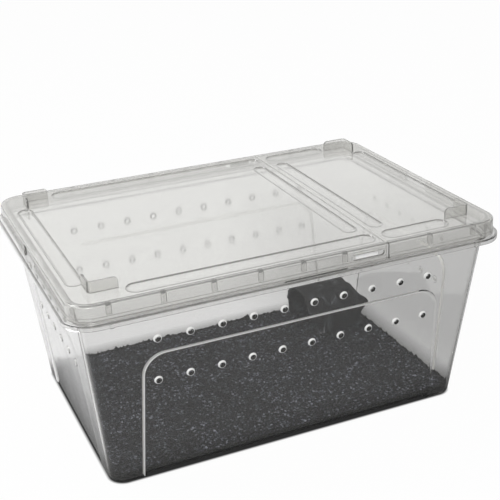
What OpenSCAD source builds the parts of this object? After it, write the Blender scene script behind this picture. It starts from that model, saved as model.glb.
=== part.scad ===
// Clear moulded pet keeper: a drafted tub on four corner feet, a snap-on lid in two panels
// joined by a hinge across its top, a bed of dark substrate and a half-round bark hide.
// Millimetres, +Z up. X runs along the long walls, Y from the front wall to the back wall.
// The origin is at the middle of the base, on the surface that the feet stand on.

/* [Tub] */
// Length of the tub at its base
base_l = 275; // [250:1:300]
// Width of the tub at its base
base_w = 182; // [170:1:200]
// Height of the tub, from its feet to the top of its rim
tub_h = 145.7; // [135:0.1:160]
// Lean of the four walls, in degrees
wall_draft = 6; // [4:0.5:8]
// Thickness of the walls
wall_t = 1.5; // [1.2:0.1:2]
// Thickness of the floor
floor_t = 1.6; // [1.2:0.1:2.5]
// Corner radius at the base
base_r = 13; // [8:0.5:14]

/* [Sunk wall panels] */
// Height of the arched panel in each wall
panel_h = 98; // [92:1:104]
// Distance from a long wall's end to its panel, at the base
panel_end = 23.3; // [18:0.1:30]
// Distance from a short wall's end to its panel, at the base
panel_side = 28; // [22:0.1:34]
// Lean of a panel's upright edges, in degrees
panel_lean = 2.2; // [0:0.1:4]
// Radius of a panel's upper corners
panel_r = 15; // [8:0.5:20]
// Depth that a panel is sunk in its wall
panel_sunk = 1.2; // [0.8:0.1:2]
// Height of the four corner feet below the floor
foot_h = 2.4; // [1.5:0.1:4]

/* [Vent holes] */
// Bore of a vent hole
vent_d = 3.2; // [2:0.1:4]
// Outer diameter of the collar round a vent hole
collar_d = 6; // [5:0.1:8]
// Height of the collar above the wall
collar_h = 0.9; // [0.5:0.1:1.4]
// Height of the lower row of holes
low_row_z = 78; // [70:1:86]
// Height of the upper row of holes
high_row_z = 111; // [108:1:115]
// Holes in each row of a long wall
long_vents = 10; // [6:1:11]
// Spacing of the holes in a long wall
long_pitch = 22.6; // [16:0.1:23.5]
// Holes in each row of a short wall
short_vents = 6; // [3:1:6]
// Spacing of the holes in a short wall
short_pitch = 20; // [14:0.1:21]

/* [Tub rim] */
// Height of the upright neck that the lid's skirt goes round
neck_h = 15; // [13:0.1:18]
// Width of the step from the wall out to the neck
shoulder_w = 3; // [2:0.1:4]
// Distance from the top of the neck down to the ledge below the skirt
ledge_drop = 10.3; // [9.5:0.1:11]
// Width of the ledge, from the neck out
ledge_w = 7.2; // [6:0.1:8.5]
// Height of the turned-down lip on the ledge
lip_h = 3.9; // [3:0.1:4.5]
// Width of the small upright bars on the lip
lip_bar_w = 3; // [2:0.1:5]

/* [Lid] */
// Thickness of the lid's plate
plate_t = 1.5; // [1.2:0.1:2]
// Thickness of the lid's skirt
skirt_t = 1.4; // [1.2:0.1:1.8]
// Space between the skirt and the neck
skirt_gap = 2.36; // [2:0.01:3]
// Space between the skirt's lower edge and the ledge
skirt_lift = 0.4; // [0.3:0.1:1]
// Corner radius of the lid, seen from above
lid_r = 17; // [14:0.5:20]
// Radius of the lid's top edge
edge_r = 2; // [1:0.1:2.5]
// Height of the thicker band along the skirt's lower edge
band_h = 3.2; // [2:0.1:4]
// How far the band stands proud of the skirt
band_t = 0.5; // [0.3:0.1:0.8]
// Distance of the hinge from the middle of the lid
seam_x = 63.5; // [55:0.5:72]
// Half the gap between the two panels at the hinge
seam_half = 0.9; // [0.9:0.1:1.2]
// Radius of the hinge bead
bead_r = 0.6; // [0.4:0.05:0.6]

/* [Lid channels] */
// Width of the stiffening channels along the front and back
channel_w = 12.5; // [9:0.1:14]
// Width of the channels along the ends
end_channel_w = 10; // [7:0.1:12]
// Width of the channels on both sides of the hinge
hinge_channel_w = 9.3; // [6:0.1:11]
// Depth of the channels
channel_d = 0.9; // [0.5:0.1:1.1]
// Distance of a front or back channel from the lid's edge
channel_edge = 9.2; // [7:0.1:11]
// Distance of an end channel from the lid's edge
end_channel_edge = 8.6; // [7:0.1:11]
// Distance of a hinge channel from the hinge line
hinge_channel_edge = 5.8; // [4:0.1:8]
// Space between two channels that meet at a corner
channel_space = 9.8; // [8:0.1:12]

/* [Skirt details] */
// Width of the upright ribs inside the skirt
rib_w = 3.6; // [2:0.1:5]
// Space between a rib and the neck
rib_clear = 0.4; // [0.3:0.1:0.8]
// Length of the finger notch in each end of the skirt
notch_l = 29; // [20:0.5:40]
// Height of the plate and skirt left above the notch
notch_roof = 2.7; // [2.2:0.1:4]
// Length of the snap slot beside the hinge
slot_l = 25; // [18:0.5:30]
// Height of the snap slot
slot_h = 3.8; // [3:0.1:3.9]
// Distance from the snap slot to the hinge line
slot_end = 2.9; // [2.5:0.1:6]
// Height of the strap below the snap slot
strap_h = 3.7; // [3:0.1:4]
// Space between the catch on the neck and the inside of the skirt
catch_clear = 0.3; // [0.3:0.1:0.6]

/* [Stacking lugs] */
// Height of the lugs above the lid
lug_h = 8; // [6:0.5:10]
// Thickness of the lugs
lug_t = 1.5; // [1.2:0.1:2.4]
// Length of a lug along the long side
lug_l = 20; // [14:0.5:26]
// Length of a lug along the short side
lug_w = 17; // [12:0.5:20]
// Radius of a lug's outer corner
lug_r = 3; // [2.5:0.5:4]
// Play of a stacked tub between the lugs, lengthwise
stack_play_l = 2.5; // [1:0.1:4]
// Play of a stacked tub between the lugs, across
stack_play_w = 0.6; // [0.6:0.1:2]

/* [Substrate and hide] */
// Depth of the substrate over the floor
bed_h = 1.8; // [1.5:0.1:12]
// Space between the substrate and the walls
bed_clear = 0.2; // [0.1:0.1:0.5]
// Rise of the bed from the left end to the right end
bed_rise = 1.2; // [0:0.1:2]
// Length of the hide
hide_l = 58; // [40:1:64]
// Radius of the hide's arched outer face
hide_r = 24; // [16:0.5:26]
// Height of the hide's straight sides below the arch
hide_side = 10.7; // [2:0.1:14]
// Thickness of the bark
bark_t = 2.6; // [2:0.1:4]
// Space between the hide's end and the right wall
hide_gap = 2.5; // [2:0.1:8]
// Space between the hide's side and the back wall
hide_back = 10.5; // [2.5:0.5:14]
// Ridges along the bark
ridges = 9; // [5:1:12]

/* [Hidden] */
$fn = 48;
tiny = 0.01;
reach = 400;

// Tub, worked out from the sizes above
grow = tan(wall_draft);
shoulder_z = tub_h - neck_h;
shoulder_t = wall_t;
wall_top_l = base_l + 2 * shoulder_z * grow;
wall_top_w = base_w + 2 * shoulder_z * grow;
neck_l = wall_top_l + 2 * shoulder_w;
neck_w = wall_top_w + 2 * shoulder_w;
neck_r = lid_r - skirt_t - skirt_gap;
wall_top_r = neck_r - shoulder_w;
ledge_z = tub_h - ledge_drop;
inner_floor_z = foot_h + floor_t;
function corner_r(z) = base_r + (wall_top_r - base_r) * z / shoulder_z;

// Lid
lid_z = tub_h + plate_t;
lid_l = neck_l + 2 * (skirt_gap + skirt_t);
lid_w = neck_w + 2 * (skirt_gap + skirt_t);
skirt_z = ledge_z + skirt_lift;
band_top_z = skirt_z + band_h;
pad_rim = 1;
channel_y = lid_w / 2 - channel_edge - channel_w / 2;
end_channel_x = lid_l / 2 - end_channel_edge - end_channel_w / 2;
hinge_channel_dx = hinge_channel_edge + hinge_channel_w / 2;
cross_channel_l = 2 * (channel_y - channel_w / 2 - channel_space);
end_channel_l = cross_channel_l - channel_space;

// Snap slot and its catch
slot_z = skirt_z + strap_h + slot_h / 2;
slot_x = seam_x - slot_end - slot_l / 2;
catch_w = skirt_gap - catch_clear;
catch_l = slot_l - 2 * slot_h;

// Ribs inside the skirt, counted out from the middle, a little wider apart each time
rib_pitch = 30.2;
rib_widen = 0.8;
end_rib = 4;
rib_d = skirt_gap - rib_clear;
function rib_x(i) = i * (rib_pitch + rib_widen * abs(i));

// Stacking lugs, round the place of the next tub's feet
lug_x = base_l / 2 + stack_play_l + lug_t;
lug_y = base_w / 2 + stack_play_w + lug_t;
lug_end_r = 3;

// Substrate and hide
bed_z = inner_floor_z + bed_h;
bed_tilt = atan(bed_rise / base_l);
hide_x = base_l / 2 - panel_sunk - wall_t - hide_gap - hide_l / 2;
hide_y = base_w / 2 - wall_t - hide_back - hide_r;
hide_z = bed_z + (hide_x + hide_l / 2) * bed_rise / base_l;
ridge_r = 4;
ridge_proud = 0.8;

// A rectangle with round corners, centred on the origin
module round_rect(l, w, r) {
    square([l - 2 * r, w], center = true);
    square([l, w - 2 * r], center = true);
    for (sx = [-1, 1], sy = [-1, 1])
        translate([sx * (l / 2 - r), sy * (w / 2 - r)])
            circle(r);
}

// A slab with round corners, from height z0 up to z1
module round_slab(l, w, r, z0, z1) {
    translate([0, 0, z0])
        linear_extrude(z1 - z0)
            round_rect(l, w, r);
}

// A slot with round ends, centred on the origin and as long as l overall
module stadium(l, w) {
    square([l - w, w], center = true);
    for (s = [-1, 1])
        translate([s * (l - w) / 2, 0])
            circle(d = w);
}

// Carries a profile round a rectangle with round corners: the profile's x is measured
// outwards from the rectangle and its y is the height
module carry_round(l, w, r) {
    for (side = [0, 1])
        rotate([0, 0, 180 * side]) {
            translate([0, -w / 2, 0])
                rotate([0, 0, -90])
                    rotate([90, 0, 0])
                        linear_extrude(l - 2 * r, center = true)
                            children();
            translate([l / 2, 0, 0])
                rotate([90, 0, 0])
                    linear_extrude(w - 2 * r, center = true)
                        children();
            translate([l / 2 - r, w / 2 - r, 0])
                rotate_extrude(angle = 90)
                    translate([r, 0])
                        children();
            translate([-l / 2 + r, w / 2 - r, 0])
                rotate([0, 0, 90])
                    rotate_extrude(angle = 90)
                        translate([r, 0])
                            children();
        }
}

// The drafted body inside the walls' outer faces, each face moved in by inset
module drafted(inset, z0, z1) {
    bottom = 2 * (z0 * grow - inset);
    top = 2 * (z1 * grow - inset);
    hull() {
        round_slab(base_l + bottom, base_w + bottom, corner_r(z0) - inset, z0, z0 + tiny);
        round_slab(base_l + top, base_w + top, corner_r(z1) - inset, z1 - tiny, z1);
    }
}

// The arched outline of a sunk panel, grown by margin: upright edges that lean in, round
// upper corners
module arch(half_w, margin) {
    centre = [half_w - (panel_h - panel_r) * tan(panel_lean) - panel_r / cos(panel_lean),
        panel_h - panel_r];
    r = panel_r + margin;
    touch = centre + r * [cos(panel_lean), sin(panel_lean)];
    foot_w = touch[0] + touch[1] * tan(panel_lean);
    polygon([[-foot_w, 0], [foot_w, 0], touch, centre, centre + [0, r],
        [-centre[0], centre[1] + r], [-centre[0], centre[1]], [-touch[0], touch[1]]]);
    for (s = [-1, 1])
        translate([s * centre[0], centre[1]])
            circle(r);
}

// The prisms that hold the panels of all four walls, grown by margin
module panel_prisms(margin) {
    rotate([90, 0, 0])
        linear_extrude(reach, center = true)
            arch(base_l / 2 - panel_end, margin);
    rotate([90, 0, 90])
        linear_extrude(reach, center = true)
            arch(base_w / 2 - panel_side, margin);
}

// The tub's solid form, moved in by inset, with its panels sunk and its feet below the floor;
// the steps at the panels' edges move with it, so that the wall is as thick there
module tub_form(inset, lift, top_z) {
    drafted(inset + panel_sunk, foot_h + lift, top_z);
    difference() {
        drafted(inset, lift, top_z);
        translate([0, 0, -tiny])
            panel_prisms(inset);
    }
}

// Places a vent hole on each row of the four walls, pointing out along the wall's normal
module at_vents(depth) {
    for (z = [low_row_z, high_row_z]) {
        out = z * grow - (z < panel_h ? panel_sunk : 0) - depth;
        for (s = [0, 180])
            rotate([0, 0, s]) {
                for (i = [0 : long_vents - 1])
                    translate([(i - (long_vents - 1) / 2) * long_pitch, -base_w / 2 - out, z])
                        rotate([90 + wall_draft, 0, 0])
                            children();
                for (i = [0 : short_vents - 1])
                    translate([base_l / 2 + out, (i - (short_vents - 1) / 2) * short_pitch, z])
                        rotate([90 + wall_draft, 0, 90])
                            children();
            }
    }
}

// Section of the rim above the shoulder, measured out from the neck's outer face
module rim_section() {
    translate([-shoulder_t, shoulder_z - shoulder_t])
        square([shoulder_t, neck_h + shoulder_t]);
    translate([-shoulder_w - wall_t / 2, shoulder_z - shoulder_t])
        square([shoulder_w + wall_t / 2, shoulder_t]);
    translate([-tiny, ledge_z - shoulder_t])
        square([ledge_w + tiny, shoulder_t]);
    translate([ledge_w - shoulder_t, ledge_z - lip_h])
        square([shoulder_t, lip_h]);
}

// Catch on the neck behind a snap slot, with a slope that the strap rides up
module catch_section() {
    polygon([[-tiny, slot_z - slot_h / 2], [catch_w, slot_z - slot_h / 4],
        [catch_w, slot_z], [-tiny, slot_z + slot_h / 2]]);
}

// The tub: drafted walls with sunk arched panels, four feet, vent holes and a stepped rim
module tub() {
    color([0.86, 0.87, 0.87, 0.45])
        difference() {
            union() {
                difference() {
                    tub_form(0, 0, shoulder_z);
                    tub_form(wall_t, floor_t, shoulder_z + wall_t);
                }
                carry_round(neck_l, neck_w, neck_r)
                    rim_section();
                for (sy = [0, 180])
                    rotate([0, 0, sy])
                        for (sx = [-1, 1])
                            translate([sx * rib_x(end_rib), -neck_w / 2 - ledge_w, ledge_z - lip_h / 2])
                                cube([lip_bar_w, 2 * band_t, lip_h + band_t], center = true);
                for (s = [-1, 1])
                    translate([slot_x, s * neck_w / 2, 0])
                        rotate([0, 0, s * 90])
                            rotate([90, 0, 0])
                                linear_extrude(catch_l, center = true)
                                    catch_section();
                at_vents(wall_t / 2)
                    cylinder(h = wall_t / 2 + collar_h, d1 = collar_d + collar_h, d2 = collar_d);
            }
            at_vents(2 * wall_t)
                cylinder(h = 4 * wall_t, d = vent_d);
        }
}

// Section of the lid's edge, measured out from the skirt's outer face
module skirt_section() {
    difference() {
        union() {
            translate([-lid_r + tiny, lid_z - plate_t])
                square([lid_r - edge_r - tiny, plate_t]);
            translate([-edge_r, lid_z - edge_r])
                circle(edge_r);
            translate([-skirt_t, skirt_z])
                square([skirt_t, lid_z - edge_r - skirt_z]);
        }
        translate([-edge_r - skirt_t - plate_t, lid_z - plate_t - edge_r])
            square([edge_r + plate_t, edge_r]);
    }
    translate([-skirt_t, skirt_z])
        square([skirt_t + band_t, band_h]);
}

// The outlines of all the channels in the lid's top
module channel_outlines(grow_by) {
    inner_end = end_channel_x - end_channel_w / 2;
    left = -inner_end + channel_space + channel_w;
    right = inner_end - channel_space - channel_w / 2;
    for (s = [-1, 1]) {
        translate([(left + seam_x - hinge_channel_edge / 2) / 2, s * channel_y])
            stadium(seam_x - hinge_channel_edge / 2 - left + 2 * grow_by, channel_w + 2 * grow_by);
        translate([(right + seam_x + hinge_channel_edge) / 2, s * channel_y])
            stadium(right - seam_x - hinge_channel_edge + 2 * grow_by, channel_w + 2 * grow_by);
        translate([seam_x + s * hinge_channel_dx, 0])
            rotate(90)
                stadium(cross_channel_l + 2 * grow_by, hinge_channel_w + 2 * grow_by);
        translate([s * end_channel_x, 0])
            rotate(90)
                stadium(end_channel_l + 2 * grow_by, end_channel_w + 2 * grow_by);
    }
}

// An upright lug round one corner, its outer corner at the origin, legs towards +X and +Y
module lug() {
    for (leg = [[lug_l, 0], [lug_w, 1]])
        mirror([leg[1], -leg[1], 0])
            translate([lug_r, lug_t, 0])
                rotate([90, 0, 0])
                    linear_extrude(lug_t) {
                        square([leg[0] - lug_r, lug_h - lug_end_r]);
                        square([leg[0] - lug_r - lug_end_r, lug_h]);
                        translate([leg[0] - lug_r - lug_end_r, lug_h - lug_end_r])
                            circle(lug_end_r);
                    }
    translate([lug_r, lug_r, 0])
        rotate([0, 0, 180])
            rotate_extrude(angle = 90)
                translate([lug_r - lug_t, 0])
                    square([lug_t, lug_h]);
}

// The whole lid before it is parted at the hinge
module lid_form() {
    difference() {
        union() {
            carry_round(lid_l, lid_w, lid_r)
                skirt_section();
            round_slab(lid_l - 2 * edge_r, lid_w - 2 * edge_r, lid_r - edge_r, lid_z - plate_t, lid_z);
            translate([0, 0, lid_z - plate_t - channel_d])
                linear_extrude(plate_t)
                    channel_outlines(pad_rim);
            for (s = [0, 180])
                rotate([0, 0, s])
                    for (i = [-end_rib : end_rib])
                        if (s == 0 ? i != 2 : i != -2)
                            translate([rib_x(i) - rib_w / 2, -lid_w / 2 + skirt_t - tiny, band_top_z])
                                cube([rib_w, rib_d + tiny, lid_z - plate_t + tiny - band_top_z]);
            for (sx = [0, 1], sy = [0, 1])
                mirror([sx, 0, 0])
                    mirror([0, sy, 0])
                        translate([-lug_x, -lug_y, lid_z - tiny])
                            lug();
        }
        translate([0, 0, lid_z - channel_d])
            linear_extrude(plate_t)
                channel_outlines(0);
        for (s = [-1, 1])
            translate([s * lid_l / 2, 0, skirt_z - tiny])
                translate([-2 * skirt_t, -notch_l / 2, 0])
                    cube([4 * skirt_t, notch_l, lid_z - notch_roof - skirt_z]);
        translate([slot_x, 0, slot_z])
            rotate([90, 0, 0])
                linear_extrude(reach, center = true)
                    stadium(slot_l, slot_h);
    }
}

// The part of the lid on one side of the hinge line, from x0 to x1
module lid_between(x0, x1) {
    intersection() {
        lid_form();
        translate([x0, -reach / 2, 0])
            cube([x1 - x0, reach, reach]);
    }
}

// The large panel, which stays on the tub while the door is open
module lid_cover() {
    color([0.86, 0.87, 0.87, 0.45])
        lid_between(-reach / 2, seam_x - seam_half);
}

// The small panel at the right end, which swings up about the hinge bead
module feeding_door() {
    color([0.86, 0.87, 0.87, 0.45])
        lid_between(seam_x + seam_half, reach / 2);
}

// The thin web of the hinge: a bead on the hinge line, carried on the edge of the cover
module hinge_bead() {
    bead_l = lid_w - 2 * edge_r;
    color([0.8, 0.81, 0.81, 0.6]) {
        translate([seam_x, 0, lid_z])
            rotate([90, 0, 0])
                cylinder(h = bead_l, r = bead_r, center = true);
        translate([seam_x - seam_half, -bead_l / 2, lid_z - bead_r])
            cube([seam_half, bead_l, bead_r]);
    }
}

// The bed of substrate: it fills the bottom of the tub and the insides of its feet, up to a
// slightly sloping face
module substrate() {
    gap = wall_t + bed_clear;
    top_z = bed_z + 2 * bed_rise;
    color([0.17, 0.17, 0.19])
        intersection() {
            union() {
                drafted(gap + panel_sunk, foot_h + floor_t, top_z);
                difference() {
                    drafted(gap, floor_t, top_z);
                    cube([base_l - 2 * (panel_end - gap), reach, reach], center = true);
                    cube([reach, base_w - 2 * (panel_side - gap), reach], center = true);
                }
            }
            translate([0, 0, bed_z])
                rotate([0, -bed_tilt, 0])
                    translate([-reach / 2, -reach / 2, -reach])
                        cube(reach);
        }
}

// Outline of the hide's end: an arch on short straight sides, with the bark's ridges outside
module bark_outline(r, ridged) {
    translate([0, hide_side])
        circle(r);
    translate([-r, 0])
        square([2 * r, hide_side]);
    if (ridged)
        for (i = [0 : ridges - 1])
            let (a = 180 * (i + 0.5) / ridges)
                translate([(r + ridge_proud - ridge_r) * cos(a), hide_side + (r + ridge_proud - ridge_r) * sin(a)])
                    circle(ridge_r);
}

// The hide: a half-round piece of bark, open at both ends, lying on the substrate
module bark_hide() {
    color([0.09, 0.09, 0.1])
        translate([hide_x, hide_y, hide_z])
            rotate([90, 0, 90])
                linear_extrude(hide_l, center = true)
                    intersection() {
                        difference() {
                            bark_outline(hide_r, true);
                            bark_outline(hide_r - bark_t, false);
                        }
                        translate([-reach / 2, 0])
                            square([reach, reach]);
                    }
}

tub();
lid_cover();
feeding_door();
hinge_bead();
substrate();
bark_hide();
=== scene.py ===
"""A clear moulded pet keeper: tub, two-panel lid, dark substrate and a bark hide.

The tub, the lid's panels, the substrate and the hide are modelled here over their solids,
with the moulding's fillets, and the hinge bead keeps its solid. The shapes are given in
millimetres and turned to metres where a mesh is made. Materials and studio are in metres.
"""
import math

import bmesh
import bpy
from mathutils import Matrix, Vector, noise


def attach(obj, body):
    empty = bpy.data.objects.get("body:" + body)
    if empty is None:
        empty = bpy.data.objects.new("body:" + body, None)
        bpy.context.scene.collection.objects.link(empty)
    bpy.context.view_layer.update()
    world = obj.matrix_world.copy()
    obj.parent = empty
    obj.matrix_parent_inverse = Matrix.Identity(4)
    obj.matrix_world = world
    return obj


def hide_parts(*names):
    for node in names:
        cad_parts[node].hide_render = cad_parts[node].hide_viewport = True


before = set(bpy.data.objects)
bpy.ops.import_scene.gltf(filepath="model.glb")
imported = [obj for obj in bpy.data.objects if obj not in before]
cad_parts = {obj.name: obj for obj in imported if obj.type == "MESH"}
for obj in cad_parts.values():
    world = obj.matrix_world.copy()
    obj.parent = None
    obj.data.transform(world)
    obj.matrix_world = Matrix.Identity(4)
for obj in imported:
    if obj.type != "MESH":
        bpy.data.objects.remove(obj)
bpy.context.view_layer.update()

MM = 0.001
TINY = 0.01

# Tub, as in its solid
BASE = (275.0, 182.0)
HALF_L, HALF_W = BASE[0] / 2, BASE[1] / 2
DRAFT = 6
LEAN = math.tan(math.radians(DRAFT))
SHOULDER_Z = 130.7
RIM_Z = 145.7
LEDGE_Z = 135.4
LEDGE_OUT = 7.2
WALL = 1.5
FLOOR = 1.6
FOOT_H = 2.4
FOOT_L, FOOT_W = 25, 30
CORNER_R = 11.6
NECK = (BASE[0] + 2 * SHOULDER_Z * LEAN + 6, BASE[1] + 2 * SHOULDER_Z * LEAN + 6)
NECK_R = 13.2

# Its sunk panels. Their half widths are for the long and the short walls. WIDER is how much the
# inner outline lies outside the outer one for each mm of wall, and the last constant how far to the
# right the slopes with a painted highlight go
PANEL_HALVES = (HALF_L - 23.3, HALF_W - 28)
PANEL_H = 98.0
PANEL_R = 15.0
PANEL_LEAN = math.tan(math.radians(2.2))
SUNK = 1.2
WIDER = 0.41
HIGHLIGHT_TO = (97.0, 46.0)

# Its vents: the walls' half distance, the number in a row, the pitch, and the walls' turns
LONG_WALL = (HALF_W, 10, 22.6, (0, 180))
SHORT_WALL = (HALF_L, 6, 20.0, (90, -90))
VENT_ROWS = (78.0, 111.0)
VENT_R = 1.65

# Lid, as in its solid
LID = (NECK[0] + 7.52, NECK[1] + 7.52)
LID_R = 17.0
LID_Z = 147.2
LID_WALL = 1.4
PLATE = 1.5
SKIRT_Z = 135.8
BAND_Z = 139.0
SEAM_X = 63.5
SEAM_HALF = 0.9
SNAP_SLOT_X = (35.6, 60.6)
SNAP_SLOT_Z = (139.5, 143.3)
LUG_CORNER = (-141.5, -93.1)
NOTCH_HALF = 14.5

# Centre and size of each channel in the lid's top, seen from above
CHANNELS = [((-28.15, side * 96.05), (177.5, 12.5)) for side in (-1, 1)]
CHANNELS += [((94.7, side * 96.05), (50.8, 12.5)) for side in (-1, 1)]
CHANNELS += [((SEAM_X + side * 10.45, 0), (9.3, 160.0)) for side in (-1, 1)]
CHANNELS += [((side * 144.4, 0), (10.0, 150.2)) for side in (-1, 1)]

# Substrate and hide, as in their solids
BED_Z = 5.8
BED_RISE = 1.2
HIDE_X = 103.3
HIDE_Y = 55.0
HIDE_R = 24.0
HIDE_SIDE = 10.7
HIDE_L = 58.0
HIDE_WALL = 2.6

# Places of the materials in TUB_PLASTICS and in LID_PLASTICS, after the clear one. All of them
# are painted light in flat colour: painted highlights and painted shade
PAINTED_HIGHLIGHT, VENT_HIGHLIGHT, BORE_SHADE = 1, 2, 3
EDGE_SHADE = 1


# ---------------------------------------------------------------- materials

def colour(code):
    """An sRGB hex colour as linear red, green, blue and alpha."""
    parts = [int(code[i:i + 2], 16) / 255 for i in (0, 2, 4)]
    return tuple(c / 12.92 if c < 0.04045 else ((c + 0.055) / 1.055) ** 2.4 for c in parts) + (1.0,)


def add(tree, kind, inputs=None, stops=(), **settings):
    """Adds a node, and gives a colour ramp its stops, each as (position, hex colour).

    An input given as another node's output is linked, any other is set.
    """
    node = tree.nodes.new(kind)
    for key, value in settings.items():
        setattr(node, key, value)
    for key, value in (inputs or {}).items():
        if isinstance(value, bpy.types.NodeSocket):
            tree.links.new(value, node.inputs[key])
        else:
            node.inputs[key].default_value = value
    # A new ramp has two stops
    for _ in stops[2:]:
        node.color_ramp.elements.new(1.0)
    for i, (position, code) in enumerate(stops):
        node.color_ramp.elements[i].position = position
        node.color_ramp.elements[i].color = colour(code)
    return node


def beyond(tree, place, half_x, half_y):
    """How far a place lies outside an upright box with round corners round the middle."""
    corner = 0.012
    core = (half_x - corner, half_y - corner, 1.0)
    folded = add(tree, "ShaderNodeVectorMath", {0: place}, operation="ABSOLUTE").outputs[0]
    over = add(tree, "ShaderNodeVectorMath", {0: folded, 1: core}, operation="SUBTRACT").outputs[0]
    over = add(tree, "ShaderNodeVectorMath", {0: over, 1: (0.0, 0.0, 0.0)}, operation="MAXIMUM").outputs[0]
    length = add(tree, "ShaderNodeVectorMath", {0: over}, operation="LENGTH").outputs["Value"]
    return add(tree, "ShaderNodeMath", {0: length, 1: corner}, operation="SUBTRACT").outputs[0]


def new_material(name):
    """A material with only its output, and the piece's own coordinates."""
    material = bpy.data.materials.new(name)
    material.use_nodes = True
    tree = material.node_tree
    tree.nodes.clear()
    place = add(tree, "ShaderNodeTexCoord").outputs["Object"]
    return material, tree, place, add(tree, "ShaderNodeOutputMaterial")


def fill(tree, out, surface, density):
    """Gives a plastic its surface, and inside it the faintly grey resin."""
    resin = add(tree, "ShaderNodeVolumeAbsorption", {"Color": colour("bab8b4"), "Density": density})
    tree.links.new(surface.outputs[0], out.inputs["Surface"])
    tree.links.new(resin.outputs["Volume"], out.inputs["Volume"])


def moulded_plastic(name, tint, clear, rough, ior, density, wave):
    """Clear injection-moulded plastic.

    The tool is polished, so the surface is glossy, with a slow waviness from shrinkage and a
    little handling haze in patches. The resin is faintly grey, which shows where light travels
    along a wall: edges, ribs and corners go grey while the flats stay clear. Light on its way
    to the things inside goes straight through the wall.
    """
    material, tree, place, out = new_material(name)
    waviness = add(tree, "ShaderNodeTexNoise", {"Vector": place, "Scale": 1 / 0.030, "Detail": 1.0})
    haze = add(tree, "ShaderNodeTexNoise", {
        "Vector": place, "Scale": 1 / 0.018, "Detail": 5.0, "Roughness": 0.65})
    roughness = add(tree, "ShaderNodeMapRange", {
        "Value": haze.outputs["Fac"], "From Min": 0.4, "From Max": 0.75,
        "To Min": rough[0], "To Max": rough[1]})
    bump = add(tree, "ShaderNodeBump", {
        "Height": waviness.outputs["Fac"], "Strength": 1.0, "Distance": wave})
    body = add(tree, "ShaderNodeBsdfPrincipled", {
        "Base Color": colour(tint), "Roughness": roughness.outputs["Result"], "IOR": ior,
        "Transmission Weight": clear, "Normal": bump.outputs["Normal"]})
    path = add(tree, "ShaderNodeLightPath").outputs
    lighting = add(tree, "ShaderNodeMath", {0: path["Is Shadow Ray"], 1: path["Is Diffuse Ray"]},
                   operation="MAXIMUM")
    passing = add(tree, "ShaderNodeBsdfTransparent", {"Color": colour("ececea")})
    surface = add(tree, "ShaderNodeMixShader", {
        0: lighting.outputs[0], 1: body.outputs[0], 2: passing.outputs[0]})
    fill(tree, out, surface, density)
    return material


def flat_painted_plastic(name, code, clear, rough, density):
    """Less clear plastic in a flat colour, with fine marks, for painted highlights and painted shade."""
    material, tree, place, out = new_material(name)
    marks = add(tree, "ShaderNodeTexNoise", {"Vector": place, "Scale": 1 / 0.0012, "Detail": 3.0})
    bump = add(tree, "ShaderNodeBump", {
        "Height": marks.outputs["Fac"], "Strength": 0.4, "Distance": 0.0002})
    body = add(tree, "ShaderNodeBsdfPrincipled", {
        "Base Color": colour(code), "Roughness": rough, "IOR": 1.5, "Transmission Weight": clear,
        "Normal": bump.outputs["Normal"]})
    fill(tree, out, body, density)
    return material


def grains(tree, place, size):
    """Grains of a size: the distance from a grain's middle, and three random numbers for each."""
    cells = add(tree, "ShaderNodeTexVoronoi", {"Vector": place, "Scale": 1 / size})
    chances = add(tree, "ShaderNodeSeparateColor", {"Color": cells.outputs["Color"]})
    return cells.outputs["Distance"], chances.outputs


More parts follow.
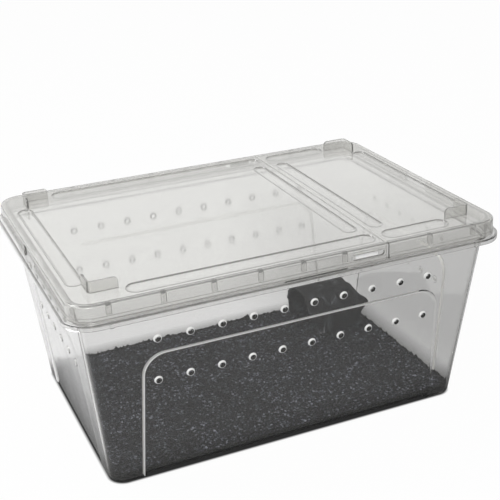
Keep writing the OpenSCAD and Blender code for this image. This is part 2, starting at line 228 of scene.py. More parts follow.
def loose_grit(name):
    """Dry black grit, poured and shaken level: matt and near black, with some paler grains.

    The paler grains are partly real and partly painted glints. The real grains are about 0.5 mm.
    They are drawn 1 mm and 1.4 mm wide, to show at all. The grains pressed against the wall and the
    bed's steep sides are painted near black, as painted shade.
    """
    material, tree, place, out = new_material(name)
    from_middle, chances = grains(tree, place, 0.0010)
    tone = add(tree, "ShaderNodeValToRGB", {"Fac": chances[0]}, stops=[
        (0.0, "040406"), (0.5, "0c0d12"), (0.78, "1c1e25"), (0.92, "40424d"), (1.0, "828492")])
    # Paler grains, partly real and partly painted glints
    chances = grains(tree, place, 0.0014)[1]
    pale_and_glinting = add(tree, "ShaderNodeValToRGB", {"Fac": chances[1]}, stops=[
        (0.0, "000000"), (0.9, "000000"), (0.93, "4e5059"), (1.0, "9a9ca8")])
    grit = add(tree, "ShaderNodeMix", {0: 1.0, 6: tone.outputs["Color"], 7: pale_and_glinting.outputs["Color"]},
               data_type="RGBA", blend_type="LIGHTEN")
    patches = add(tree, "ShaderNodeTexNoise", {"Vector": place, "Scale": 1 / 0.022, "Detail": 5.0})
    dust = add(tree, "ShaderNodeValToRGB", {"Fac": patches.outputs["Fac"]}, stops=[
        (0.3, "909090"), (0.7, "ffffff")])
    dusty = add(tree, "ShaderNodeMix", {0: 1.0, 6: grit.outputs[2], 7: dust.outputs["Color"]},
                data_type="RGBA", blend_type="MULTIPLY")
    # Painted shade: the grit goes near black against the wall and on the bed's steep sides
    at_wall = add(tree, "ShaderNodeMapRange", {
        "Value": beyond(tree, place, 0.1345, 0.0868), "From Min": -0.0012, "From Max": 0.0})
    normal = add(tree, "ShaderNodeTexCoord").outputs["Normal"]
    facing = add(tree, "ShaderNodeSeparateXYZ", {0: normal}).outputs["Z"]
    steep = add(tree, "ShaderNodeMapRange", {
        "Value": facing, "From Min": 0.1, "From Max": 0.45, "To Min": 1.0, "To Max": 0.0})
    unlit = add(tree, "ShaderNodeMath", {0: at_wall.outputs[0], 1: steep.outputs[0]}, operation="MAXIMUM")
    shaded_grit = add(tree, "ShaderNodeMix", {
        0: unlit.outputs[0], 6: dusty.outputs[2], 7: colour("050505")}, data_type="RGBA")
    bump = add(tree, "ShaderNodeBump", {"Height": from_middle, "Strength": 0.8, "Distance": 0.0008},
               invert=True)
    body = add(tree, "ShaderNodeBsdfPrincipled", {
        "Base Color": shaded_grit.outputs[2], "Roughness": 0.85, "Specular IOR Level": 0.3,
        "Normal": bump.outputs["Normal"]})
    tree.links.new(body.outputs["BSDF"], out.inputs["Surface"])
    return material


def cork_bark(name):
    """Weathered cork bark, near black, with paler upright scuffs."""
    material, tree, place, out = new_material(name)
    furrows = add(tree, "ShaderNodeTexNoise", {
        "Vector": place, "Scale": 1 / 0.004, "Detail": 8.0, "Roughness": 0.7})
    drawn_out = add(tree, "ShaderNodeMapping", {"Vector": place, "Scale": (1.0, 1.0, 0.35)})
    scuffs = add(tree, "ShaderNodeTexNoise", {
        "Vector": drawn_out.outputs[0], "Scale": 1 / 0.010, "Detail": 5.0, "Distortion": 1.2})
    tone = add(tree, "ShaderNodeValToRGB", {"Fac": scuffs.outputs["Fac"]}, stops=[
        (0.42, "131315"), (0.55, "1f2023"), (0.64, "3c3d42"), (0.74, "808186")])
    bump = add(tree, "ShaderNodeBump", {
        "Height": furrows.outputs["Fac"], "Strength": 0.7, "Distance": 0.001})
    body = add(tree, "ShaderNodeBsdfPrincipled", {
        "Base Color": tone.outputs["Color"], "Roughness": 0.8, "Normal": bump.outputs["Normal"]})
    tree.links.new(body.outputs["BSDF"], out.inputs["Surface"])
    return material


def give(piece, *materials):
    piece.data.materials.clear()
    for material in materials:
        piece.data.materials.append(material)


# The tub is clear polystyrene. Its other plastics are painted light: a painted highlight on the
# steps round its panels and on the catches, a painted highlight on the collars of the long walls
# and in the bores of the short walls, and painted shade inside the long walls' collars
TUB_PLASTICS = (moulded_plastic("clear_polystyrene", "ffffff", 0.98, (0.01, 0.04), 1.5, 115.0, 0.0001),
                flat_painted_plastic("highlight_polystyrene", "ffffff", 0.15, 0.3, 60.0),
                flat_painted_plastic("vent_highlight_polystyrene", "ffffff", 0.2, 0.25, 60.0),
                flat_painted_plastic("bore_shade_polystyrene", "050505", 0.15, 0.6, 60.0))
# The lid is a little hazy all over. The faces of its slots and seam are painted darker grey, as
# painted shade along those edges
LID_PLASTICS = (moulded_plastic("hazy_polypropylene", "f2f2f0", 0.86, (0.04, 0.1), 1.49, 150.0, 0.0002),
                flat_painted_plastic("edge_shade_polypropylene", "6e6d6a", 0.35, 0.3, 300.0))
HINGE_PLASTIC = moulded_plastic("flexed_polypropylene", "ecece9", 0.7, (0.18, 0.3), 1.49, 90.0, 0.0002)
GRIT = loose_grit("black_grit")
BARK = cork_bark("cork_bark")


# ---------------------------------------------------------------- modelling helpers

def select_none():
    if bpy.context.mode != "OBJECT":
        bpy.ops.object.mode_set(mode="OBJECT")
    bpy.ops.object.select_all(action="DESELECT")


def take(piece):
    """Makes a piece the only selected and the active one."""
    select_none()
    bpy.context.view_layer.objects.active = piece
    piece.select_set(True)


def settle(name):
    """Names the new primitive and puts its place in its mesh."""
    piece = bpy.context.object
    piece.name = name
    take(piece)
    bpy.ops.object.transform_apply(location=True, rotation=True, scale=True)
    return piece


def block(name, low, high):
    """A box between two corners."""
    select_none()
    middle = [(a + b) / 2 * MM for a, b in zip(low, high)]
    bpy.ops.mesh.primitive_cube_add(size=1, location=middle)
    bpy.context.object.scale = [(b - a) * MM for a, b in zip(low, high)]
    return settle(name)


def pick(piece, kind, test=lambda item: True):
    """Opens a piece in edit mode with only the verts, edges or faces that pass the test."""
    take(piece)
    bpy.ops.object.mode_set(mode="EDIT")
    bpy.ops.mesh.select_mode(type=kind)
    bpy.ops.mesh.select_all(action="DESELECT")
    mesh = bmesh.from_edit_mesh(piece.data)
    for item in {"VERT": mesh.verts, "EDGE": mesh.edges, "FACE": mesh.faces}[kind]:
        if test(item):
            item.select_set(True)
    bmesh.update_edit_mesh(piece.data)


def close():
    bpy.ops.object.mode_set(mode="OBJECT")


def level(z, reach=TINY):
    """Test for verts, edges or faces that lie at a height."""
    def test(item):
        verts = getattr(item, "verts", [item])
        return all(abs(v.co.z / MM - z) < reach for v in verts)
    return test


def upright(edge):
    a, b = (v.co for v in edge.verts)
    return abs(a.z - b.z) > 0.8 * (a - b).length


def length_along(edge, axis):
    """How far an edge reaches along one axis, in metres."""
    return abs(edge.verts[0].co[axis] - edge.verts[1].co[axis])


def grow(piece, test, factors, centre=(0, 0, 0)):
    pick(piece, "VERT", test)
    bpy.ops.transform.resize(value=factors, center_override=[c * MM for c in centre])
    close()


def shift(piece, test, move):
    pick(piece, "VERT", test)
    bpy.ops.transform.translate(value=[m * MM for m in move])
    close()


def extrude(rise, spread=1):
    """Extrudes the picked faces upwards, and spreads them round the Z axis."""
    bpy.ops.mesh.extrude_region_move(TRANSFORM_OT_translate={"value": (0, 0, rise * MM)})
    bpy.ops.transform.resize(value=(spread, spread, 1), center_override=(0, 0, 0))


def turn_outwards():
    """Turns all faces of the open piece outwards, and closes it."""
    bpy.ops.mesh.select_all(action="SELECT")
    bpy.ops.mesh.normals_make_consistent(inside=False)
    close()


def fillet(piece, test, radius, segments=3):
    """Rounds the edges that pass the test."""
    pick(piece, "EDGE", test)
    bpy.ops.mesh.bevel(offset=radius * MM, segments=segments, affect="EDGES", clamp_overlap=False)
    close()


def modify(piece, kind, **settings):
    """Changes a piece by a modifier."""
    take(piece)
    change = piece.modifiers.new(kind.lower(), kind)
    for key, value in settings.items():
        setattr(change, key, value)
    bpy.ops.object.modifier_apply(modifier=change.name)
    return piece


def soften(piece, radius, segments=2, angle=50):
    """Rounds every edge sharper than an angle."""
    return modify(piece, "BEVEL", width=radius * MM, segments=segments, limit_method="ANGLE",
                  angle_limit=math.radians(angle), use_clamp_overlap=False)


def combine(piece, other, how):
    """Adds another piece to this one, or cuts it away, and removes the other."""
    modify(piece, "BOOLEAN", operation=how, object=other, solver="EXACT")
    bpy.data.objects.remove(other)


def copy_of(piece, place=Matrix.Identity(4)):
    twin = piece.copy()
    twin.data = piece.data.copy()
    bpy.context.scene.collection.objects.link(twin)
    twin.data.transform(place)
    if place.determinant() < 0:
        twin.data.flip_normals()
    return twin


def together(pieces):
    """Joins pieces that don't touch into one object."""
    select_none()
    for piece in pieces:
        piece.select_set(True)
    bpy.context.view_layer.objects.active = pieces[0]
    bpy.ops.object.join()
    return bpy.context.object


def move_to(piece, x, y, z=0):
    piece.data.transform(Matrix.Translation((x * MM, y * MM, z * MM)))


def slab(name, size, radius, z0, z1, segments=10):
    """An upright slab with round corners, round the middle."""
    l, w = size
    piece = block(name, (-l / 2, -w / 2, z0), (l / 2, w / 2, z1))
    fillet(piece, upright, radius, segments)
    return piece


def smooth(piece, angle):
    """Smooth shading, but for edges sharper than an angle."""
    take(piece)
    bpy.ops.object.shade_smooth_by_angle(angle=math.radians(angle))
    return piece


def shade(piece):
    """Smooth shading whose flat faces stay flat."""
    return modify(smooth(piece, 35), "WEIGHTED_NORMAL", keep_sharp=True)


def paint(piece, index, test=lambda place: True):
    """Gives the faces that pass a test another of the piece's materials."""
    for face in piece.data.polygons:
        if test(face.center / MM):
            face.material_index = index


# ---------------------------------------------------------------- tub

def panel_cutter(half_w, wall_half, inset):
    """The arched recess, as in the front wall: a leaning slab whose outline widens outwards.

    The recess of the inner surface is larger, so that the wall keeps its thickness.
    """
    half_w += WIDER * inset
    top, bottom, out = PANEL_H + WIDER * inset, -20, 4
    piece = block("panel_cutter", (-half_w, -wall_half - out, bottom),
                  (half_w, -wall_half + SUNK + inset, top))
    for z in (bottom, top):
        shift(piece, level(z), (0, -z * LEAN, 0))
        grow(piece, level(z), (1 - z * PANEL_LEAN / half_w, 1, 1))
    fillet(piece, lambda e: level(top)(e) and length_along(e, 0) < 1e-6, PANEL_R, 10)
    flare = SUNK + inset + out
    grow(piece, lambda v: v.co.y / MM + wall_half + v.co.z / MM * LEAN < -out / 2,
         (1 + flare / half_w, 1, 1 + flare / (top - bottom)), (0, 0, bottom))
    return piece


def tub_surface(inset):
    """The outer surface of the tub as a solid, or its inner surface, set in by the wall."""
    inner = bool(inset)
    low, high = FLOOR * inner, SHOULDER_Z + inset + 2
    piece = block("tub", (inset - HALF_L, inset - HALF_W, low), (HALF_L - inset, HALF_W - inset, high))
    for z in (low, high):
        grow(piece, level(z), (1 + z * LEAN / (HALF_L - inset), 1 + z * LEAN / (HALF_W - inset), 1))
    fillet(piece, upright, CORNER_R - inset, 10)
    fillet(piece, level(low), 2.5 - inset / 2, 4)
    for width, wall, turn in ((PANEL_HALVES[0], HALF_W, 0), (PANEL_HALVES[1], HALF_L, 90)):
        for half_turn in (0, 180):
            cutter = panel_cutter(width, wall, inset)
            cutter.data.transform(Matrix.Rotation(math.radians(turn + half_turn), 4, "Z"))
            combine(piece, cutter, "DIFFERENCE")
    top = FOOT_H + FLOOR * inner
    x, y = HALF_L + (inset - FOOT_L), HALF_W + (inset - FOOT_W)
    combine(piece, block("gap", (-x, -150, -20), (x, 150, top)), "DIFFERENCE")
    combine(piece, block("gap", (-200, -y, -20), (200, y, top)), "DIFFERENCE")
    neck = slab("neck", (NECK[0] - 2 * inset, NECK[1] - 2 * inset), NECK_R - inset,
                SHOULDER_Z + inset, RIM_Z + 4 * inner)
    combine(piece, neck, "UNION")
    # Corners closer than 0.3 mm would spoil the rounding
    pick(piece, "VERT")
    bpy.ops.mesh.remove_doubles(threshold=0.3 * MM)
    close()
    return soften(piece, 0.3, 2, 25)


def on_step(inset):
    """Test for the slope over and to the left of a sunk panel, seen from outside, which has a painted
    highlight.

    It goes by how deep the slope lies under the wall's own face.
    """
    slack, corner = 0.03, 15

    def test(place):
        x, y, z = (abs(c) for c in place)
        right_x = math.copysign(1, -place.y) * place.x
        right_y = math.copysign(1, place.x) * place.y
        deep_x, deep_y = HALF_L + z * LEAN - x - inset, HALF_W + z * LEAN - y - inset
        on_long = slack < deep_y < SUNK - slack and x < HALF_L - corner and right_x < HIGHLIGHT_TO[0]
        on_short = slack < deep_x < SUNK - slack and y < HALF_W - corner and right_y < HIGHLIGHT_TO[1]
        return z > FOOT_H + FLOOR + 0.2 and (on_long or on_short)
    return test


def on_rim(edge):
    """Test for the edges round the top of the rim, between its level face and a steep one."""
    ups = [abs(f.normal.z) for f in edge.link_faces]
    return level(RIM_Z)(edge) and len(ups) == 2 and max(ups) > 0.9 and min(ups) < 0.5


def ledge():
    """The ledge round the neck, with its turned-down lip."""
    size = [n + 2 * LEDGE_OUT for n in NECK]
    piece = slab("ledge", size, NECK_R + LEDGE_OUT, LEDGE_Z - 3.9, LEDGE_Z)
    inner = slab("inner", (NECK[0] - WALL, NECK[1] - WALL), NECK_R - WALL / 2, 120, 150)
    under = slab("under", (size[0] - 2.8, size[1] - 2.8), NECK_R + 5.8, 120, LEDGE_Z - WALL)
    combine(piece, inner, "DIFFERENCE")
    combine(piece, under, "DIFFERENCE")
    return soften(piece, 0.4, 3, 50)


def lip_bars():
    """Small upright bars on the lip, near the corners of the long sides."""
    bars = []
    for x in (-133.6, 133.6):
        for side in (-1, 1):
            y = side * (NECK[1] / 2 + LEDGE_OUT)
            bar = block("bar", (x - 1.5, y - 0.49, LEDGE_Z - 4.1), (x + 1.5, y + 0.49, LEDGE_Z + 0.2))
            bars.append(soften(bar, 0.35, 2))
    return together(bars)


def catches():
    """Wedges on the neck behind the lid's snap slots, which the straps ride over."""
    half_w = NECK[1] / 2
    (left, right), (bottom, top) = SNAP_SLOT_X, SNAP_SLOT_Z
    wedge = block("catch", (left + 3.8, -half_w - 2.06, bottom), (right - 3.8, -half_w + 0.7, top))
    shift(wedge, lambda v: v.co.y < -half_w * MM and v.co.z > 0.141, (0, 1.9, 0))
    soften(wedge, 0.3, 2, 30)
    give(wedge, *TUB_PLASTICS)
    # The catches carry the painted highlight all over
    paint(wedge, PAINTED_HIGHLIGHT)
    return together([copy_of(wedge, Matrix.Scale(-1, 4, (0, 1, 0))), wedge])


def vent_places(half, count, pitch, turns):
    """One matrix for each vent of a pair of walls: on the outer face, +Z along its normal."""
    places = []
    lean = Matrix.Rotation(math.radians(90 + DRAFT), 4, "X")
    for z in VENT_ROWS:
        out = half + z * LEAN - (SUNK if z < PANEL_H else 0)
        for i in range(count):
            spot = Matrix.Translation(((i - (count - 1) / 2) * pitch * MM, -out * MM, z * MM))
            places += [Matrix.Rotation(math.radians(a), 4, "Z") @ spot @ lean for a in turns]
    return places


def collar(proud):
    """The raised collar of one vent, rounded over at its outer end. A proud one is white: painted
    highlight.
    """
    foot, rim, rise = (3.4, 2.4, 1.25) if proud else (3.3, 2.7, 0.5)
    sunk = 0.75
    select_none()
    bpy.ops.mesh.primitive_cone_add(vertices=20, radius1=foot * MM, radius2=rim * MM,
                                    depth=(rise + sunk) * MM, location=(0, 0, (rise - sunk) / 2 * MM))
    piece = settle("collar")
    fillet(piece, level(rise, 0.02), 0.2, 3)
    give(piece, *TUB_PLASTICS)
    # A proud collar is painted white above the wall, a painted highlight
    paint(piece, VENT_HIGHLIGHT, lambda place: proud and place.z > 0.05)
    return piece


def bore(proud):
    """The cutter of one vent: a pin with a flared end for the rounded mouth.

    It is painted dark inside a proud collar, as painted shade, clear within the wall behind it, and
    white at its mouth, as a painted highlight. Without such a collar the whole bore is painted white.
    """
    length = 3.7
    select_none()
    bpy.ops.mesh.primitive_cylinder_add(vertices=20, radius=VENT_R * MM, depth=length * MM,
                                        location=(0, 0, -length / 2 * MM))
    piece = settle("bore")
    pick(piece, "FACE", level(0, 0.02))
    for spread, rise in ((1.0, 0.7), (1.06, 0.25), (1.08, 0.15), (1.11, 0.15), (1.0, 0.4)):
        extrude(rise, spread)
    close()
    give(piece, *TUB_PLASTICS)
    # Painted shade inside a proud collar, and a painted highlight at the mouth or along a whole bore
    paint(piece, BORE_SHADE, lambda place: proud and place.z > 0)
    paint(piece, VENT_HIGHLIGHT, lambda place: place.z > 1.2 or not proud)
    return piece


def make_tub():
    surfaces = []
    for inset in (0, WALL):
        surface = tub_surface(inset)
        give(surface, *TUB_PLASTICS)
        # A painted highlight on the slopes of the panels' steps
        paint(surface, PAINTED_HIGHLIGHT, on_step(inset))
        surfaces.append(surface)
    piece, inner = surfaces
    combine(piece, inner, "DIFFERENCE")
    fillet(piece, on_rim, 0.35, 2)
    for part in (ledge, lip_bars, catches):
        combine(piece, part(), "UNION")
    for wall, proud in ((LONG_WALL, True), (SHORT_WALL, False)):
        for pattern, how in ((collar(proud), "UNION"), (bore(proud), "DIFFERENCE")):
            combine(piece, together([copy_of(pattern, place) for place in vent_places(*wall)]), how)
            bpy.data.objects.remove(pattern)
    piece.name = "moulded_tub"
    return shade(piece)


# ---------------------------------------------------------------- lid

def stadium(name, centre, size, profile):
    """A solid with round ends. Each step of its side is (distance inside the outline, height)."""
    count = 24
    radius = min(size) / 2 / math.cos(math.pi / count)
    first, bottom = profile[0]
    select_none()
    bpy.ops.mesh.primitive_circle_add(vertices=count, radius=(radius - first) * MM, fill_type="NGON",
                                      location=(0, 0, bottom * MM), rotation=(0, 0, math.pi / count))
    piece = settle(name)
    pick(piece, "FACE")
    for (before, z0), (inside, z1) in zip(profile, profile[1:]):
        extrude(z1 - z0, (radius - inside) / (radius - before))
    turn_outwards()
    along = 0 if size[0] > size[1] else 1
    stretch = (max(size) - min(size)) / 2
    for side in (-1, 1):
        move = [0, 0, 0]
        move[along] = side * stretch
        shift(piece, lambda v: v.co[along] * side > 0, move)
    move_to(piece, *centre)
    return piece


# The side of a channel's trough, with a soft upper edge and a dished bottom, and the side of its
# raised underside, both from the lid's top
TROUGH = [(-0.75, 2), (-0.6, 0.03), (-0.28, -0.03), (-0.08, -0.12), (0.08, -0.3), (0.2, -0.55),
          (0.45, -0.75), (0.95, -0.88), (1.9, -0.92)]
UNDERSIDE = [(-1.0, -1.1), (-1.0, -1.9), (-0.9, -2.2), (-0.6, -2.36), (-0.3, -2.4)]


def lug():
    """One stacking lug: an upright angle with a round outer corner and round top ends."""
    thick, long, deep = 1.5, 20, 17
    top = LID_Z + 7.98

    def bend(edge):
        return upright(edge) and edge.verts[0].co.xy.length < 3 * MM

    piece = block("lug", (0, 0, LID_Z - 0.7), (long, deep, top))
    fillet(piece, bend, 3, 5)
    inner = block("inner", (thick, thick, LID_Z - 5), (long + 5, deep + 5, LID_Z + 20))
    fillet(inner, bend, 1.5, 5)
    combine(piece, inner, "DIFFERENCE")
    fillet(piece, lambda e: level(top)(e) and (all(v.co.x > (long - TINY) * MM for v in e.verts)
                                               or all(v.co.y > (deep - TINY) * MM for v in e.verts)), 3, 5)
    soften(piece, 0.25, 2, 60)
    move_to(piece, *LUG_CORNER)
    return piece


def lid_ribs():
    """Upright ribs inside the skirt, which keep the lid centred on the neck."""
    half_w = LID[1] / 2
    ribs = []
    for i in (-4, -3, -2, -1, 0, 1, 3, 4):
        pitch = 30.2 + 0.8 * abs(i)
        x = i * pitch
        for side in (-1, 1):
            y0, y1 = sorted((side * (half_w - 1.0), side * (half_w - 3.36)))
            rib = block("rib", (x - 1.8, y0, BAND_Z + 0.1), (x + 1.8, y1, LID_Z - 1.2))
            fillet(rib, lambda e: upright(e) and abs(e.verts[0].co.y) < (half_w - 3) * MM, 0.6, 3)
            ribs.append(rib)
    return together(ribs)


def notches():
    """The cutter of the finger notches in both ends of the skirt."""
    top = LID_Z - 2.7
    piece = block("notch", (-170, -NOTCH_HALF, 120), (170, NOTCH_HALF, top))
    fillet(piece, lambda e: level(top)(e) and length_along(e, 1) < 1e-6, 0.8, 3)
    combine(piece, block("middle", (-155, -40, 100), (155, 40, 160)), "DIFFERENCE")
    return piece


def snap_slots():
    """The cutter of the snap slots, through both long sides of the skirt."""
    (left, right), (bottom, top) = SNAP_SLOT_X, SNAP_SLOT_Z
    piece = block("slot", (left, -130, bottom), (right, 130, top))
    fillet(piece, lambda e: length_along(e, 1) > 0.1, 1.88, 6)
    give(piece, *LID_PLASTICS)
    # The slots' faces are painted darker grey, as painted shade along those edges
    paint(piece, EDGE_SHADE)
    return piece


def make_lid():
    """The whole lid, before it is parted at the hinge line."""
    piece = slab("lid", LID, LID_R, BAND_Z - 1.5, LID_Z, segments=14)
    fillet(piece, level(LID_Z), 2.0, 6)
    band = slab("band", (LID[0] + 1, LID[1] + 1), LID_R + 0.5, SKIRT_Z, BAND_Z, segments=15)
    combine(piece, soften(band, 0.22, 2, 60), "UNION")
    ceiling = LID_Z - PLATE
    hollow = slab("hollow", [n - 2 * LID_WALL for n in LID], LID_R - LID_WALL, 120, ceiling, segments=13)
    fillet(hollow, level(ceiling), 0.6, 3)
    combine(piece, hollow, "DIFFERENCE")
    for name, side, how in (("pad", UNDERSIDE, "UNION"), ("channel", TROUGH, "DIFFERENCE")):
        profile = [(inside, LID_Z + z) for inside, z in side]
        for centre, size in CHANNELS:
            combine(piece, stadium(name, centre, size, profile), how)
    combine(piece, lid_ribs(), "UNION")
    corner = lug()
    lugs = [copy_of(corner, Matrix.Diagonal((x, y, 1, 1))) for x in (-1, 1) for y in (-1, 1)]
    bpy.data.objects.remove(corner)
    combine(piece, together(lugs), "UNION")
    combine(piece, notches(), "DIFFERENCE")
    give(piece, *LID_PLASTICS)
    combine(piece, snap_slots(), "DIFFERENCE")
    return piece


def half_of(whole, x, keep_left, name):
    """The part of the lid on one side of an upright cut across it."""
    piece = copy_of(whole)
    piece.name = name
    pick(piece, "FACE")
    bpy.ops.mesh.bisect(plane_co=(x * MM, 0, 0), plane_no=(1, 0, 0), use_fill=True,
                        clear_outer=keep_left, clear_inner=not keep_left)
    close()
    # The seam's face is painted darker grey, as painted shade along the edge
    paint(piece, EDGE_SHADE, lambda place: abs(place.x - x) < TINY)
    return shade(piece)


# ---------------------------------------------------------------- substrate and hide

def make_bed():
    """Loose substrate: it fills the floor and the feet, and its uneven top clings to the walls."""
    lowest = FOOT_H + FLOOR + 0.3
    select_none()
    bpy.ops.mesh.primitive_grid_add(x_subdivisions=300, y_subdivisions=200, size=1)
    bpy.context.object.scale = (0.282, 0.188, 1)
    piece = settle("loose_substrate")
    for v in piece.data.vertices:
        x, y = v.co.x / MM, v.co.y / MM
        away = min(HALF_L - WALL - abs(x), HALF_W - WALL - abs(y))
        raked = 0.45 * noise.noise((x / 45, y / 38, 3.1)) + 0.35 * noise.noise((x / 14, y / 12, 7.7))
        lumps = 0.35 * noise.noise((x / 3.3, y / 3.3, 1.3)) + 0.4 * noise.noise((x / 1.5, y / 1.5, 9.2))
        cling = (0.5 * max(0, noise.noise((x / 9, y / 9, 5.5)))
                 + 1.2 * max(0, noise.noise((x / 1.8, y / 1.8, 2.5))))
        climb = math.exp(-max(away, 0) / 1.6) * 4.2 * cling
        v.co.z = max(lowest, BED_Z + x * BED_RISE / BASE[0] - 0.4 + raked + lumps + climb) * MM
    # The flat underside, which the inner surface of the tub then cuts off
    pick(piece, "FACE")
    extrude(0)
    bpy.ops.transform.resize(value=(1, 1, 0), center_override=(0, 0, -2 * MM))
    turn_outwards()
    combine(piece, tub_surface(WALL + 0.15), "INTERSECT")
    move_to(piece, 0, 0, 0.12)
    give(piece, GRIT)
    return smooth(piece, 60)


def bark_shell():
    """The smooth half-round of the hide, open at both ends, cut fine enough for its furrows."""
    select_none()
    bpy.ops.mesh.primitive_cylinder_add(vertices=96, radius=HIDE_R * MM, depth=HIDE_L * MM,
                                        rotation=(0, math.radians(90), 0), end_fill_type="NOTHING")
    piece = settle("bark_arch")
    pick(piece, "FACE", lambda f: f.calc_center_median().z < 0)
    bpy.ops.mesh.delete(type="FACE")
    close()
    pick(piece, "EDGE", lambda e: e.is_boundary and all(abs(v.co.z) < 0.002 for v in e.verts))
    bpy.ops.mesh.extrude_edges_move(TRANSFORM_OT_translate={"value": (0, 0, -HIDE_SIDE * MM)})
    bpy.ops.mesh.select_all(action="SELECT")
    bpy.ops.mesh.bisect(plane_co=(0, 0, -HIDE_SIDE * MM / 2), plane_no=(0, 0, 1))
    close()
    rings = 40
    for i in range(1, rings):
        pick(piece, "FACE")
        x = (-0.5 + i / rings) * HIDE_L * MM
        bpy.ops.mesh.bisect(plane_co=(x, 0, 0), plane_no=(1, 0, 0))
        close()
    modify(piece, "SOLIDIFY", thickness=HIDE_WALL * MM, offset=-1, use_even_offset=True,
           use_quality_normals=True)
    return modify(piece, "SUBSURF", subdivision_type="SIMPLE", levels=1, render_levels=1)


def make_hide():
    """A half-round of cork bark, with furrows along it, rough ends and a broken right end.

    Each corner is moved by its place from the arch's middle, in mm, and its angle round it.
    """
    piece = bark_shell()
    for v in piece.data.vertices:
        x, y, z = (c / MM for c in v.co)
        a = math.atan2(max(z, 0) + 0.01, y)
        furrow = noise.noise((x / 17, a * 5.2, 2.2)) + 0.5 * noise.noise((x / 6, a * 11, 6.2))
        rough = noise.noise((x / 2.6, y / 2.0, z / 2.0))
        r = math.hypot(y, max(z, 0))
        if r > 1:
            push = (0.75 * furrow + 0.35 * rough) / r
            v.co.y += y * push * MM
            v.co.z += max(z, 0) * push * MM
        end = min(1, max(0, abs(x) - 12) / 17)
        v.co.x += 1.2 * noise.noise((a * 3, z / 5, x / 60 + 8)) * MM * end
        if x > 0:
            knob = 4 * math.exp(-((z - 10) / 3.5) ** 2)
            hollow = 6.5 * math.exp(-((z + 1) / 5) ** 2)
            v.co.x -= (max(0, z - 9) * 0.6 + 3 + hollow - knob) * end * MM
        else:
            v.co.x += (1.8 + max(0, 14 - z) * 0.16 + 2.2 * noise.noise((z / 4, y / 9, 4.4))) * end * MM
    move_to(piece, HIDE_X, HIDE_Y, BED_Z + 0.3 + HIDE_SIDE)
    give(piece, BARK)
    return smooth(piece, 60)


# ---------------------------------------------------------------- pieces

tub = make_tub()
lid = make_lid()
cover = half_of(lid, SEAM_X - SEAM_HALF, True, "large_panel")
door = half_of(lid, SEAM_X + SEAM_HALF, False, "small_panel")
bpy.data.objects.remove(lid)
bed = make_bed()
hide = make_hide()
for slot in bpy.data.objects["hinge_bead"].material_slots:
    slot.material = HINGE_PLASTIC


# ---------------------------------------------------------------- camera and light

def aim(camera, place, yaw, pitch, roll):
    """Puts the camera at a place and turns it by three angles, in degrees."""
    yaw, pitch, roll = (math.radians(a) for a in (yaw, pitch, roll))
    ahead = Vector((-math.sin(yaw) * math.cos(pitch), math.cos(yaw) * math.cos(pitch), -math.sin(pitch)))
    right = Vector((math.cos(yaw), math.sin(yaw), 0))
    up = right.cross(ahead)
    right, up = (right * math.cos(roll) + up * math.sin(roll), up * math.cos(roll) - right * math.sin(roll))
    turn = Matrix((right, up, -ahead)).transposed()
    camera.matrix_world = Matrix.Translation(place) @ turn.to_4x4()


def seen(tree, camera=1.0, glossy=1.0, clear=1.0):
    """How much of the white background each kind of ray shows, and 0 for the light on the object."""
    path = add(tree, "ShaderNodeLightPath").outputs
    total = add(tree, "ShaderNodeMath", {0: path["Is Camera Ray"], 1: camera}, operation="MULTIPLY")
    for ray, share in (("Is Glossy Ray", glossy), ("Is Transmission Ray", clear)):
        total = add(tree, "ShaderNodeMath", {0: path[ray], 1: share, 2: total.outputs[0]},
                    operation="MULTIPLY_ADD")
    plain = add(tree, "ShaderNodeMath", {0: path["Diffuse Depth"], 1: 0.5}, operation="LESS_THAN")
    total = add(tree, "ShaderNodeMath", {0: total.outputs[0], 1: plain.outputs[0]}, operation="MULTIPLY",
                use_clamp=True)
    return total.outputs[0]


def make_sky():
    """A white world that lights the object evenly, at a lower strength than it is seen at.

    The plastic shows it dimmer overhead and to the right.
    """
    world = bpy.data.worlds.new("studio")
    bpy.context.scene.world = world
    world.use_nodes = True
    sky = world.node_tree
    sky.nodes.clear()
    way = add(sky, "ShaderNodeTexCoord").outputs["Generated"]
    way = add(sky, "ShaderNodeSeparateXYZ", {0: way}).outputs
    overhead = add(sky, "ShaderNodeMapRange", {
        "Value": way["Z"], "From Min": 0.3, "From Max": 0.65, "To Min": 1.0, "To Max": 0.4},
        interpolation_type="SMOOTHSTEP")
    aside = add(sky, "ShaderNodeMapRange", {
        "Value": way["X"], "From Min": 0.5, "From Max": 0.85, "To Min": 1.0, "To Max": 0.6})
    dimmed = add(sky, "ShaderNodeMath", {0: overhead.outputs[0], 1: aside.outputs[0]}, operation="MULTIPLY")
    camera_only = add(sky, "ShaderNodeLightPath").outputs["Is Camera Ray"]
    shown = add(sky, "ShaderNodeMath", {0: dimmed.outputs[0], 1: camera_only}, operation="MAXIMUM")
    strength = add(sky, "ShaderNodeMix", {0: seen(sky), 2: 0.6, 3: shown.outputs[0]})
    light = add(sky, "ShaderNodeBackground", {"Color": (1, 1, 1, 1), "Strength": strength.outputs[0]})
    add(sky, "ShaderNodeOutputWorld", {"Surface": light.outputs["Background"]})


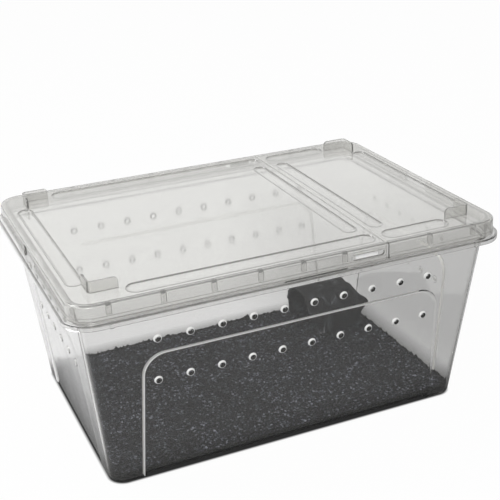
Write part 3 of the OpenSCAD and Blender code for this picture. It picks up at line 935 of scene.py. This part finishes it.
def white_sweep(name):
    """White paper that takes the shadow, and is seen as white.

    Where the plastic shows it, it glows with painted shade: fainter close to the tub and to the
    right, as a painted shadow of the tub, where the far parts in front and behind are bright again,
    and mirrored fainter in front. Seen directly, it is painted black between the feet, as the
    shadow under the tub.
    """
    material, tree, place, out = new_material(name)
    paper = add(tree, "ShaderNodeBsdfDiffuse", {"Color": colour("cacaca")})
    where = add(tree, "ShaderNodeSeparateXYZ", {0: place}).outputs
    path = add(tree, "ShaderNodeLightPath").outputs
    # Painted shadow of the tub to its right, where the plastic shows the paper
    shadow_to_right = add(tree, "ShaderNodeMapRange", {
        "Value": where["X"], "From Min": 0.05, "From Max": 0.18, "To Min": 0.95, "To Max": 0.6})
    off_middle = add(tree, "ShaderNodeMath", {0: where["Y"]}, operation="ABSOLUTE")
    far = add(tree, "ShaderNodeMapRange", {
        "Value": off_middle.outputs[0], "From Min": 0.15, "From Max": 0.4, "To Max": 0.35})
    in_plastic = add(tree, "ShaderNodeMath", {0: shadow_to_right.outputs[0], 1: far.outputs[0]}, operation="ADD",
                     use_clamp=True)
    # Painted shadow close round the tub, where the plastic shows the paper
    shadow_near_tub = add(tree, "ShaderNodeMapRange", {
        "Value": beyond(tree, place, 0.135, 0.09), "From Min": -0.004, "From Max": 0.025})
    # Painted shade: the paper is mirrored fainter in front
    in_front = add(tree, "ShaderNodeMapRange", {
        "Value": where["Y"], "From Min": -0.09, "From Max": -0.05, "To Min": 0.25})
    mirrored = add(tree, "ShaderNodeMix", {0: path["Is Glossy Ray"], 2: 1.0, 3: in_front.outputs[0]})
    for share in (shadow_near_tub, mirrored):
        in_plastic = add(tree, "ShaderNodeMath", {0: in_plastic.outputs[0], 1: share.outputs[0]},
                         operation="MULTIPLY")
    # Painted shadow under the tub, black between the feet when seen directly
    gap = add(tree, "ShaderNodeMapRange", {
        "Value": beyond(tree, place, 0.1375, 0.091), "From Min": -0.001, "From Max": 0.0012,
        "To Min": 0.02})
    strength = add(tree, "ShaderNodeMix", {
        0: path["Is Camera Ray"], 2: in_plastic.outputs[0], 3: gap.outputs[0]})
    glow = add(tree, "ShaderNodeEmission", {"Color": (1, 1, 1, 1), "Strength": strength.outputs[0]})
    blend = add(tree, "ShaderNodeMixShader", {
        0: seen(tree, 0.97, 0.95, 0.95), 1: paper.outputs[0], 2: glow.outputs[0]})
    tree.links.new(blend.outputs[0], out.inputs["Surface"])
    return material


def softbox(name, place, target, width, power):
    """A square lamp."""
    lamp = bpy.data.lights.new(name, "AREA")
    lamp.shape = "SQUARE"
    lamp.size = width
    lamp.energy = power
    holder = bpy.data.objects.new(name, lamp)
    bpy.context.scene.collection.objects.link(holder)
    holder.location = place
    holder.rotation_euler = (Vector(target) - Vector(place)).to_track_quat("-Z", "Y").to_euler()


camera = bpy.data.objects.new("camera", bpy.data.cameras.new("camera"))
bpy.context.scene.collection.objects.link(camera)
aim(camera, (-0.27399, -0.66085, 0.41855), -23.178, 23.150, -2.067)
camera.data.lens = 73.56
camera.data.sensor_width = 36
camera.data.sensor_fit = "HORIZONTAL"
bpy.context.scene.camera = camera
bpy.context.scene.view_settings.view_transform = "Standard"

make_sky()
select_none()
bpy.ops.mesh.primitive_plane_add(size=8, location=(0, 0, -0.0003))
floor = settle("floor")
give(floor, white_sweep("white_sweep"))

softbox("key_softbox", (-0.75, 0.45, 1.1), (0, 0, 0.05), 0.7, 13)
softbox("front_softbox", (-0.45, -0.95, 0.8), (0, 0, 0.08), 0.6, 7)

for piece, body, node, slot in (
        (tub, "keeper", "tub", "clear_plastic"),
        (cover, "cover", "lid_cover", "milky_plastic"),
        (door, "door", "feeding_door", "milky_plastic"),
        (bed, "keeper", "substrate", "dark_substrate"),
        (hide, "keeper", "bark_hide", "dark_bark")):
    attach(piece, body)
    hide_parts(node)
